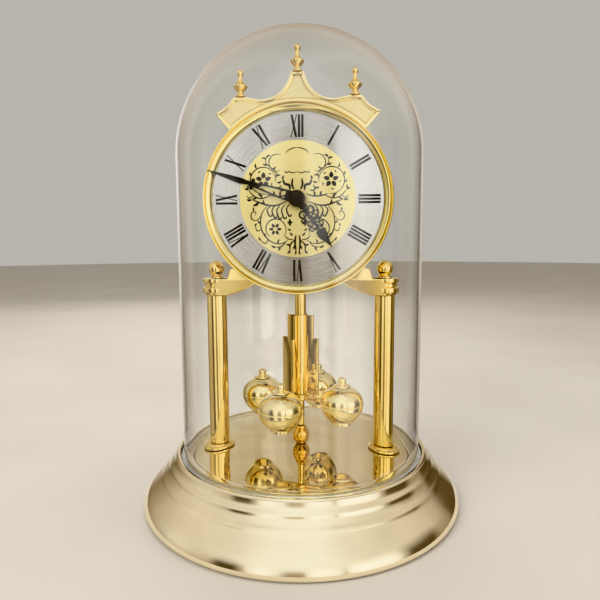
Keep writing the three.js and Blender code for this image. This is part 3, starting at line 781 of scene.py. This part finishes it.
def ornament_lines():
    """Stems and scrolls of the right half, as (points, width), from the dial's centre."""
    lines = [
        # empty cartouche: top lobe, side lobe with a curled end, and lower lip
        (arc(0, 19.6, 9.4, 90, 50, 12) + [(6.3, 25.4)], 0.5),
        (spiral(11.6, 20.6, 5, 4.4, 118, -62, 20) + [(12.6, 16.2), (10.6, 15.6), (10.2, 17)], 0.5),
        vine(0.5, (0, 15.6), (2.4, 14.9), (4.6, 15.5), (6.6, 15), (7, 16.4)),
        # vine that climbs from the hub round the upper flower and ends beside the cartouche
        vine(0.7, (5, 3.2), (9, 1.8), (13.6, 2), (17.6, 3)),
        (spiral(19.4, 10.9, 7.9, 7, -100, 190, 40), 0.55),
        vine(0.5, (12.4, 11.6), (11.8, 14.4), (14, 17), (17.8, 20.4), (17.6, 23.6)),
        vine(0.6, (15.2, 2.4), (20.4, 0.6), (24.8, 1.8), (28.4, 5.6)),
        vine(0.5, (25.4, 2.2), (27.8, 0.8), (29.4, 2.2)),
        # leaf pair above the hub
        vine(1, (1.8, 5.6), (3, 8.2), (2.6, 11.8)),
        vine(1.2, (4.2, 5), (4.6, 8), (7.2, 8.8), (8.2, 11.4)),
        (spiral(8.8, 6.6, 2, 0.9, -150, 90, 16), 0.7),
        # lower side stems, and the vines round the lower flower
        vine(0.8, (6.4, -1.4), (12.4, -3.4), (17.4, -3.2), (22.2, -1.6), (26.4, 0)),
        vine(0.6, (17.2, -3.4), (20.6, -8), (21.4, -14.6), (19.4, -20.2), (15, -24.4), (9.6, -25.4),
             (5.4, -23.4), steps=7),
        (spiral(12.9, -17, 6.4, 5.2, 215, -60, 30), 0.55),
        vine(0.55, (7.4, -20.6), (5.6, -22.6), (2.4, -23)),
        vine(0.5, (21.2, -9.4), (24, -12), (26.8, -10.6), (26.4, -7.4), (24.2, -7.2), (24.4, -9)),
        vine(0.5, (20.6, -17), (23.4, -18), (24.4, -15.6)),
        vine(0.5, (16.8, -22.8), (18.8, -25.2), (21.2, -23.6)),
        # stems of the spray at the foot
        vine(0.9, (0.9, -20.4), (1.5, -24.6), (0.9, -30)),
        vine(0.7, (1.4, -23), (4.2, -26), (4.4, -29.6)),
        vine(0.55, (6.8, -24.4), (9.4, -27), (12.6, -27.4)),
    ]
    # comb of scrolls that hang from the lower stem and hook outwards
    for i in range(5):
        x, z = 4.4 + 2.8 * i, -2.6 - 0.3 * i
        drop = 7.6 - 1.0 * abs(i - 1.4)
        stem = smooth_line([(x, z), (x + 1.9, z - 0.45 * drop), (x + 0.9, z - drop)], 6)
        lines.append((stem + spiral(x - 0.15, z - drop, 1.05, 0.55, 0, -230, 14)[1:], 0.75))
    return lines


def ornament_leaves():
    """Leaves, petals and buds of the right half: (x, z, heading, length, width, curl)."""
    leaves = [
        (17.6, 23.4, 120, 3, 1.2, 0.5), (17.8, 22.6, 40, 2.8, 1.1, -0.5), (17, 19.6, -10, 3, 1.1, 0.5),
        (14.2, 17.2, 170, 2.6, 1, -0.5), (27, 9.4, 30, 2.4, 1, 0.5), (26.6, 13.4, 60, 2.6, 1, 0.4),
        (23.4, 17.6, 60, 3, 1.1, 0.4), (12.4, 13.2, 150, 3, 1.1, 0.5), (11.6, 9.6, 190, 3, 1.1, -0.5),
        (12.6, 6.4, 170, 2.8, 1.1, 0.4), (20.4, 0.8, 70, 3.4, 1.4, -0.4), (23.4, 1.4, -40, 3, 1.2, 0.4),
        (28.4, 5.6, 80, 2.8, 1.1, 0.3), (28.4, 5.6, 10, 2.4, 1, 0.3), (26.4, 0, -20, 3.2, 1.3, 0.4),
        (22.4, -1.6, -50, 4, 1.6, 0.4), (18.8, -2.8, 50, 3, 1.2, 0.5), (9.6, 1.8, 70, 3.2, 1.3, 0.5),
        (13.4, 2, 100, 2.8, 1.2, -0.4), (21.3, -13.6, 20, 2.8, 1, 0.6), (24.4, -15.6, 90, 2.4, 1, 0.4),
        (21.2, -23.6, 40, 2.6, 1, 0.4), (19.8, -19.4, -150, 2.4, 1, 0.5), (12.6, -27.4, 0, 3, 1.2, 0.4),
        (10.2, -27.2, -80, 2.6, 1.1, 0.3), (11.4, -25.2, 90, 2.6, 1, 0.4), (4.4, -29.2, -70, 2.6, 1.2, 0.4),
        (4, -25.8, -20, 2.8, 1.2, 0.4), (1.2, -26.6, -40, 2.6, 1.1, -0.4), (0.9, -29.6, -80, 2.2, 1.1, 0),
        (8.2, 11.2, 80, 2.4, 1.2, 0.4), (2.6, -20.6, 20, 2.6, 1.1, 0.5), (3.6, -17.6, 0, 2.4, 1, 0.5),
        (25, -6.6, 60, 2.4, 1, 0.4)]
    # open blossom in the upper vine: two rows of round petals about a gap
    for x, z, petals, reach, width, start in ((19.4, 10.9, 5, 3.6, 2.5, 90), (12.9, -17, 6, 2.7, 1.7, 60)):
        for i in range(petals):
            angle = start + 360 * i / petals
            way = radians(angle)
            leaves.append((x + 1.0 * cos(way), z + 1.0 * sin(way), angle, reach, width, 0))
    leaves += [(19.4 + 4.7 * cos(a), 10.9 + 4.7 * sin(a), degrees(a) + 50, 1.9, 0.8, 0.4)
               for a in (radians(54 + 72 * i) for i in range(5))]
    # diamond bud below the hub
    leaves += [(4.4, -13.2, a, 2.2 if a % 180 else 1.6, 1.3, 0) for a in (0, 90, 180, 270)]
    return leaves


STROKE_WEIGHT = 1.25


def make_ornament():
    builder = bmesh.new()
    face = -box_mm("dial_centre")[0].y
    count = 0
    for side in (1, -1):
        for points, width in ornament_lines():
            line = [(side * x, z + DIAL_Z) for x, z in points]
            ribbon(builder, line, taper(width * STROKE_WEIGHT), face - SUNK, face + PRINT + 0.0005 * count)
            count += 1
        for leaf in ornament_leaves():
            outline = [(side * x, z + DIAL_Z) for x, z in leaf_shape(*leaf)]
            prism(builder, outline, face - SUNK, face + PRINT + 0.0005 * count)
            count += 1
    mesh = mesh_from(builder, "ornament")
    finish_piece("dial_ornament", mesh, "root", "ink", sharp=20)


# ---- hands
MINUTE_ANGLE = 288  # clockwise from twelve
HOUR_ANGLE = 144


def mirrored(half):
    """Closes a half outline, listed from the tip down its right side, with its mirror image."""
    return half + [(-x, z) for x, z in reversed(half) if abs(x) > 1e-3]


def hand_piece(name, node, body, mesh, degrees):
    """Turns a hand that points to twelve about the dial's centre."""
    placed(mesh, (0, 0, DIAL_Z), Matrix.Rotation(radians(degrees), 4, "Y"))
    finish_piece(name, mesh, body, "black", [node])


def make_minute_hand():
    node = "minute_hand"
    low, high = box_mm(node)
    back, front = -high.y, -low.y
    blade = [
        (0, 53.5), (0.22, 52.6), (0.5, 48), (0.85, 44.5), (1.25, 39.5), (1.5, 34), (1.42, 30.6), (0.9, 28.6)]
    knob = arc(2.4, 26.5, 1, 125, -125, 10)
    flank = [(1.45, 24.6), (2.05, 19), (2.9, 10), (3.15, 4.6)]
    hub = arc(0, 0, 4.8, 45, -90, 16)
    outline = mirrored(blade + knob + flank + hub)
    window = [(0.7, 22.2), (1.75, 10), (2, 6.9), (-2, 6.9), (-1.75, 10), (-0.7, 22.2)]
    loops = [outline, rounded(window, 0.5, closed=True), circle(0, 0, 1.5, 24)]
    mesh = flat_mesh(loops, back, front, bevel=0.15)
    hand_piece("long_hand", node, "minute_arbor", mesh, MINUTE_ANGLE)


def make_hour_hand():
    node = "hour_hand"
    low, high = box_mm(node)
    back, front = -high.y, -low.y
    spine = [(0, 24.4), (0.7, 23.6), (0.75, 18), (1.15, 14.4), (0.8, 12), (1.1, 8), (2.2, 4.2)]
    hub = arc(0, 0, 4.6, 58, -90, 16)
    parts = [flat_mesh([mirrored(spine + hub), circle(0, 0, 2.6, 24)], back, front, bevel=0.12)]
    blade = [(0, 34), (0.35, 33), (1.3, 29.6), (2.6, 26.4), (3, 24.4), (2.5, 22.6), (1.4, 21.6), (0, 21.2)]
    parts.append(flat_mesh([mirrored(blade)], back + 0.02, front - 0.02, bevel=0.12))
    loops = [(2.75, 9.2, 2.35, 1.45), (4.2, 12.6, 1.75, 1), (2.2, 15.9, 1.9, 1.1), (3.3, 19, 1.45, 0.75)]
    for number, (x, z, outer, inner) in enumerate(loops):
        for side in (1, -1):
            rings = [circle(side * x, z, outer, 32), circle(side * x, z, inner, 32)]
            parts.append(flat_mesh(rings, back + 0.03 * number, front - 0.02 * number - 0.03, bevel=0.1))
    hand_piece("short_hand", node, "hour_pipe", joined(*parts), HOUR_ANGLE)


def make_hands():
    make_minute_hand()
    make_hour_hand()
    nut = [
        (0, 2.8), (1.5, 2.8), (1.5, 0), (4.7, 0), (4.75, 0.4), (4.5, 0.8), (3.6, 1.1), (2.7, 1.4),
        (2.45, 1.8), (2.4, 2.8), (2.1, 3.2), (1.2, 3.45), (0, 3.5)]
    faced("cap_nut", "hand_nut", nut, "black", "minute_arbor", segments=64)


# ---- crest
CREST_PEAK = 259.1
CREST_SHOULDER = 245.6
CREST_CURVE = [
    (3.8, CREST_PEAK), (4.9, 255.6), (6.7, 252), (9.3, 248.7), (12.9, 246.1), (16.8, 244.7), (21.4, 244.2),
    (26, 244.9), (29.6, CREST_SHOULDER)]
CREST_WING = [(37, CREST_SHOULDER), (39.5, 242.3), (42.8, 239.4), (47.9, 236.7)]
CREST_TOE = (39.8, 227.6)
CREST_FOOT = 53.9  # radius of the cut over the case, hidden behind the bezel's edge
CREST_SILL = 55.3  # radius at which the border shows above the bezel
CREST_BORDER = 1.9
CREST_GROOVE = 0.75


def crest_outline(foot):
    """Outline of the crest with its lower edge at a radius about the dial's centre."""
    start = degrees(atan2(CREST_TOE[1] - DIAL_Z, CREST_TOE[0])) + 1.5
    peak = [(0, CREST_PEAK)] + smooth_line(CREST_CURVE, 6)
    below = arc(0, DIAL_Z, foot, start, 90, 36)
    right = peak + smooth_line(CREST_WING, 5) + [CREST_TOE] + below
    return right + [(-x, z) for x, z in reversed(right[1:-1])]


def inset(outline, distance):
    """The closed outline moved inwards, with mitred corners."""
    count = len(outline)
    area = sum(outline[i - 1][0] * outline[i][1] - outline[i][0] * outline[i - 1][1] for i in range(count))
    inward = 1 if area > 0 else -1
    moved = []
    for i in range(count):
        here = Vector(outline[i])
        before = (here - Vector(outline[i - 1])).normalized()
        after = (Vector(outline[(i + 1) % count]) - here).normalized()
        first = Vector((-before.y, before.x)) * inward
        second = Vector((-after.y, after.x)) * inward
        middle = (first + second).normalized()
        moved.append(tuple(here + middle * distance / max(0.35, middle.dot(first))))
    return moved


def make_crest():
    """A plate with a thin raised border, a groove inside it and a satin field."""
    low, high = box_mm("crest")
    back, front = -high.y, -low.y
    outer, inner = crest_outline(CREST_FOOT), crest_outline(CREST_SILL)
    floor = front - CREST_GROOVE
    levels = [
        (outer, 0.25, back), (outer, 0, back + 0.25), (outer, 0, front - 0.35), (outer, 0.1, front - 0.1),
        (outer, 0.35, front), (inner, CREST_BORDER - 0.45, front),
        (inner, CREST_BORDER - 0.15, front - 0.12), (inner, CREST_BORDER, floor),
        (inner, CREST_BORDER + 0.55, floor), (inner, CREST_BORDER + 0.8, front - 0.35)]
    builder = bmesh.new()
    rings = [[builder.verts.new((x, -depth, z)) for x, z in inset(outline, offset)]
             for outline, offset, depth in levels]
    for lower, upper in zip(rings, rings[1:]):
        bridge(builder, lower, upper)
    builder.faces.new(rings[0])
    field = builder.faces.new(rings[-1])
    field.material_index = 1
    bmesh.ops.triangulate(builder, faces=[f for f in builder.faces if len(f.verts) > 4])
    mesh = mesh_from(builder, "crest")
    piece = finish_piece("crest_plate", mesh, "root", "crest_gold", ["crest"])
    piece.data.materials.append(MATERIALS["satin_gold"])
    finial = [
        (0, 0), (2.9, 0), (3.05, 0.5), (2.8, 1), (1.8, 1.4), (1.5, 2.2), (1.7, 2.9), (2.8, 3.6), (3.7, 4.7),
        (4.2, 5.6), (4.15, 6.1), (3.1, 6.9), (2.2, 7.9), (1.55, 9.2), (1.15, 10.5), (1.2, 11.3)]
    finial += arc(0, 13.3, 1.95, -48, 90, 14)
    for label in ("left", "centre", "right"):
        turned(f"finial_{label}", f"crest_finial_{label}", finial, fillet=0.2, segments=64)


# ---- pendulum
BALL_EQUATOR = 13.2  # height of a ball's equator above its underside


def ball_profile():
    socket = [(0, 2), (5, 2), (5, 0.15), (5.2, 0), (6.4, 0), (6.6, 0.2), (6.6, 1.45)]
    lower = arc(0, BALL_EQUATOR, 13.5, -60, -5, 22)
    seam = [(13.5, 12.3), (13.75, 12.5), (13.8, 13), (13.6, 13.3), (13.15, 13.45), (13.3, 13.8)]
    angles = [radians(4 + 62 * i / 19) for i in range(20)]
    upper = [(13.3 * cos(a), BALL_EQUATOR + 0.4 + 10.7 * sin(a)) for a in angles]
    return socket + lower + seam + upper + [(0, BALL_EQUATOR + 10.2)]


def make_balls():
    knob = [
        (0, 0), (5.2, 0), (5.25, 0.35), (4.9, 0.9), (3.6, 1.25), (2.5, 1.7), (2.2, 2.2), (2.55, 3),
        (2.75, 3.9), (2.5, 4.8), (1.8, 5.5), (0.9, 5.85), (0, 5.9)]
    for i in (1, 2, 3, 4):
        turned(f"pendulum_ball_{i}", f"ball_{i}", ball_profile(), "pale_gold", body="pendulum", fillet=0)
        turned(f"ball_knob_{i}", f"ball_finial_{i}", knob, "pale_gold", body="pendulum", segments=64)


FIN_AZIMUTHS = (68, 158, 248, 338)
def make_cross(name, node, bottom, hub, hub_fillet, arm, arm_fillet, half, bevel):
    """A turned hub with a flat arm at each azimuth, half its thickness to each side."""
    parts = [placed(spin(hub, 64, hub_fillet), (0, 0, bottom))]
    for azimuth in FIN_AZIMUTHS:
        plate = flat_mesh([rounded(arm, arm_fillet, closed=True)], -half, half, bevel)
        parts.append(placed(plate, turn=Matrix.Rotation(radians(azimuth), 4, "Z")))
    finish_piece(name, joined(*parts), "pendulum", "gold", [node])


def make_fins():
    """Four stepped fins round the shaft, and the hub and arms that carry the balls."""
    hub = [(1.8, 0), (3.3, 0), (3.3, 51.6), (1.8, 51.6)]
    fin = [(2, 65), (12.6, 65), (12.6, 102), (9.1, 102), (9.1, 116.6), (2, 116.6)]
    make_cross("fin_body", "pendulum_fins", 65, hub, 0.3, fin, 0.5, 0.75, 0.3)
    hub = [(1.8, 0), (3.6, 0), (4, 0.6), (4, 3.2), (3.6, 3.8), (1.8, 3.8)]
    arm = [(2.5, 61.2), (14.4, 61.2), (14.4, 63.4), (2.5, 63.4)]
    make_cross("ball_carrier", "pendulum_spider", 60.9, hub, 0.2, arm, 0.7, 1.4, 0.35)


def make_pendulum():
    make_balls()
    make_fins()
    shaft = [(0, 0), (0.6, 0.15), (1.2, 0.6), (1.5, 1.2), (1.5, 6.6), (2.25, 7.2), (2.25, 23.2), (1.5, 23.2),
             (1.5, 115.6), (0, 115.6)]
    turned("shaft", "pendulum_rod", shaft, body="pendulum", fillet=0.15, segments=64)
    sleeve = [(1.8, 0), (3.6, 0), (3.6, 31.1), (1.8, 31.1)]
    turned("shaft_sleeve", "pendulum_tube", sleeve, body="pendulum", segments=64)
    cup = [(1.6, 0), (3.2, 0), (3.5, 0.3), (4.5, 1.5), (5.2, 2.7), (5.45, 3.9), (5.45, 4.5), (4.95, 4.75),
           (4.95, 5), (5.4, 5.3), (5.3, 6.6), (4.7, 8.3), (3.7, 10), (3.3, 10.6), (3.2, 11.3), (2.9, 11.6),
           (2.1, 11.6), (2.1, 4.3), (1.6, 4.3)]
    turned("barrel_cup", "guide_cup", cup, "deep_gold", fillet=0.15)


# ---- movement, seen from behind
def make_movement():
    half = MOVEMENT_HALF - 0.3
    inner = half - 1.5
    low, high = DIAL_Z - half, DIAL_Z + half
    divider = 176.05
    walls = [
        rounded_box((-half, half), (low, high), 2.5),
        rounded_box((-inner, inner), (low + 1.5, divider), 1.5),
        rounded_box((-inner, inner), (divider + 0.8, high - 1.5), 1.5)]
    frame_walls = flat_mesh(walls, 6, 22.6, bevel=0.25)
    front = flat_mesh([walls[0], circle(0, DIAL_Z, 2.6, 32)], 22.5, 24, bevel=0.25)
    bush = placed(spin([(2.6, 0), (4, 0), (4, 4.1), (2.6, 4.1)], 48, 0.2), (0, -23.5, DIAL_Z), TO_FRONT)
    mesh = joined(frame_walls, front, bush)
    finish_piece("movement_box", mesh, "root", "black_plastic", ["movement_case"])
    make_movement_cover(divider + 1.1, DIAL_Z + half - 1.8, half - 1.8)
    make_battery(low + 1.5, inner)
    make_setting_knob()


def make_movement_cover(low, high, half):
    """The lid of the gear side: a raised ring round the knob, ribs and a hole for the arbor."""
    arbor_z = DIAL_Z + ARBOR_OFFSET
    edge = rounded_box((-half, half), (low, high), 1.5)
    parts = [flat_mesh([edge, circle(0, arbor_z, 1.6, 32)], 6.2, 7.2, bevel=0.2),
             flat_mesh([circle(0, arbor_z, 8.6, 64), circle(0, arbor_z, 6.6, 64)], 5.6, 6.3, bevel=0.2)]
    for side in (-1, 1):
        for i in range(4):
            x = side * (12 + 3.6 * i)
            rib = rounded_box((x - 0.6, x + 0.6), (low + 4, high - 4), 0.6)
            parts.append(flat_mesh([rib], 5.8, 6.3, bevel=0.2))
    finish_piece("movement_lid", joined(*parts), "root", "black_plastic", ["movement_cover"])


def make_battery(floor, wall):
    """A cell in a printed sleeve with bare ends, and the two contacts that stay in the well."""
    low, high = box_mm("battery")
    centre = (low + high) / 2
    radius = (high.z - low.z) / 2
    half = (high.x - low.x) / 2
    sleeve = [
        (0, -half + 0.6), (radius - 0.9, -half + 0.6), (radius - 0.2, -half + 0.4), (radius, -half + 0.9),
        (radius, half - 2.6), (radius - 0.2, half - 2), (radius - 0.9, half - 1.9), (0, half - 1.9)]
    ends = [(0, -half), (radius - 1.6, -half), (radius - 1.4, -half + 0.7), (radius - 1.4, half - 1.8),
            (2.9, half - 1.6), (2.7, half - 1.3), (2.7, half - 0.3), (2.4, half), (0, half)]
    lying = Matrix.Rotation(pi / 2, 4, "Y")
    for name, profile, material, nodes in (("cell_sleeve", sleeve, "battery", ["battery"]),
                                           ("cell_ends", ends, "steel", [])):
        mesh = placed(spin(profile, 72, 0.2), centre, lying)
        finish_piece(name, mesh, "battery", material, nodes)
    for side, label in ((-1, "negative"), (1, "positive")):
        x = sorted((side * (wall - 0.1), side * (wall - 0.5)))
        plate = flat_mesh([rounded_box(x, (floor + 1, floor + 13), 0.15)], 8.5, 19.5, bevel=0.1)
        finish_piece(f"contact_{label}", plate, "root", "steel")


def toothed(teeth, tip, root, turn=0.0):
    """Outline of a wheel with plain tapered teeth, one of them centred at turn (degrees from +X)."""
    points = []
    pitch = 360 / teeth
    for i in range(teeth):
        for share, radius in ((-0.34, root), (-0.13, tip), (0.13, tip), (0.34, root)):
            angle = radians(turn + pitch * (i + share))
            points.append((radius * cos(angle), radius * sin(angle)))
    return points


def make_setting_knob():
    """The fluted knob on the back that sets the hands, with its arbor, wheel and pinion."""
    flutes = []
    for i in range(240):
        angle = 2 * pi * i / 240
        radius = 5.4 + 0.22 * cos(24 * angle)
        flutes.append((radius * cos(angle), radius * sin(angle)))
    parts = [
        flat_mesh([flutes], 2, 5.7, bevel=0.25), flat_mesh([circle(0, 0, 4.2, 64)], 1.5, 2.1, bevel=0.25),
        flat_mesh([circle(0, 0, 1.2, 24)], 5.6, 17),
        flat_mesh([toothed(36, 9.4, 8.45, -90 + 5)], 16.8, 18.4, bevel=0.05),
        flat_mesh([toothed(12, 2.7, 1.95, -90)], 18.3, 21.8, bevel=0.05)]
    mesh = placed(joined(*parts), (0, 0, DIAL_Z + ARBOR_OFFSET))
    finish_piece("setting_knob", mesh, "setting_arbor", "black_plastic", ["setting_arbor"])


def make_drive():
    """The case of the pendulum drive, with a lip round the hole that the sleeve hangs in."""
    low, high = box_mm("drive_housing")
    outline = rounded_box((low.x, high.x), (low.z, high.z), 1.5)
    case = flat_mesh([outline], -high.y, -low.y, bevel=0.6)
    lip = placed(spin([(4.9, 0), (6.6, 0), (6.6, 0.5), (4.9, 0.5)], 64, 0.2), (0, 0, low.z - 0.4))
    finish_piece("drive_case", joined(case, lip), "root", "black_plastic", ["drive_housing"])


# ---- CAD nodes that stay
KEPT_NODES = {
    "cup_screw": "steel", "column_rod_left": "steel", "column_rod_right": "steel",
    "column_nut_left": "steel",
    "column_nut_right": "steel", "circuit_board": "board", "motor_coil": "copper", "centre_arbor": "steel",
    "hour_wheel": "steel", "drive_bush": "white_plastic", "drive_coil": "copper", "drive_magnet": "steel",
}


def dress_kept_nodes():
    for name, material in KEPT_NODES.items():
        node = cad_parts[name]
        node.data.materials.clear()
        node.data.materials.append(MATERIALS[material])
        node.data.shade_smooth()
        node.data.set_sharp_from_angle(angle=radians(35))


FLOOR_NEAR = 0.13  # metres
FLOOR_FAR = 4.0


def floor_material(name, mirrored):
    """Pale, nearly matt paint. Polished metal sees the studio in place of a floor that isn't mirrored."""
    material, tree, shader = node_material(name)
    drift = noise(tree, 6, detail=2.0)
    put(tree, shader, {"Base Color": blend_colours(tree, drift, (0.50, 0.46, 0.41), (0.54, 0.50, 0.45)),
                       "Roughness": 0.6})
    if not mirrored:
        see_through(tree, shader, mirrored_share(tree))
    return material


def make_floor():
    for name, inner, outer in (("floor", 0, FLOOR_NEAR), ("far_floor", FLOOR_NEAR, FLOOR_FAR)):
        mesh = spin([(inner, 0), (outer, 0)], 64, closed=False)
        floor = new_object(name, mesh)
        mesh.materials.append(floor_material(name, mirrored=inner == 0))


make_camera()
make_lights()
make_world()
make_floor()
make_base()
make_dome()
make_columns()
make_head()
make_numerals()
make_ornament()
make_hands()
make_crest()
make_pendulum()
make_movement()
make_drive()
dress_kept_nodes()
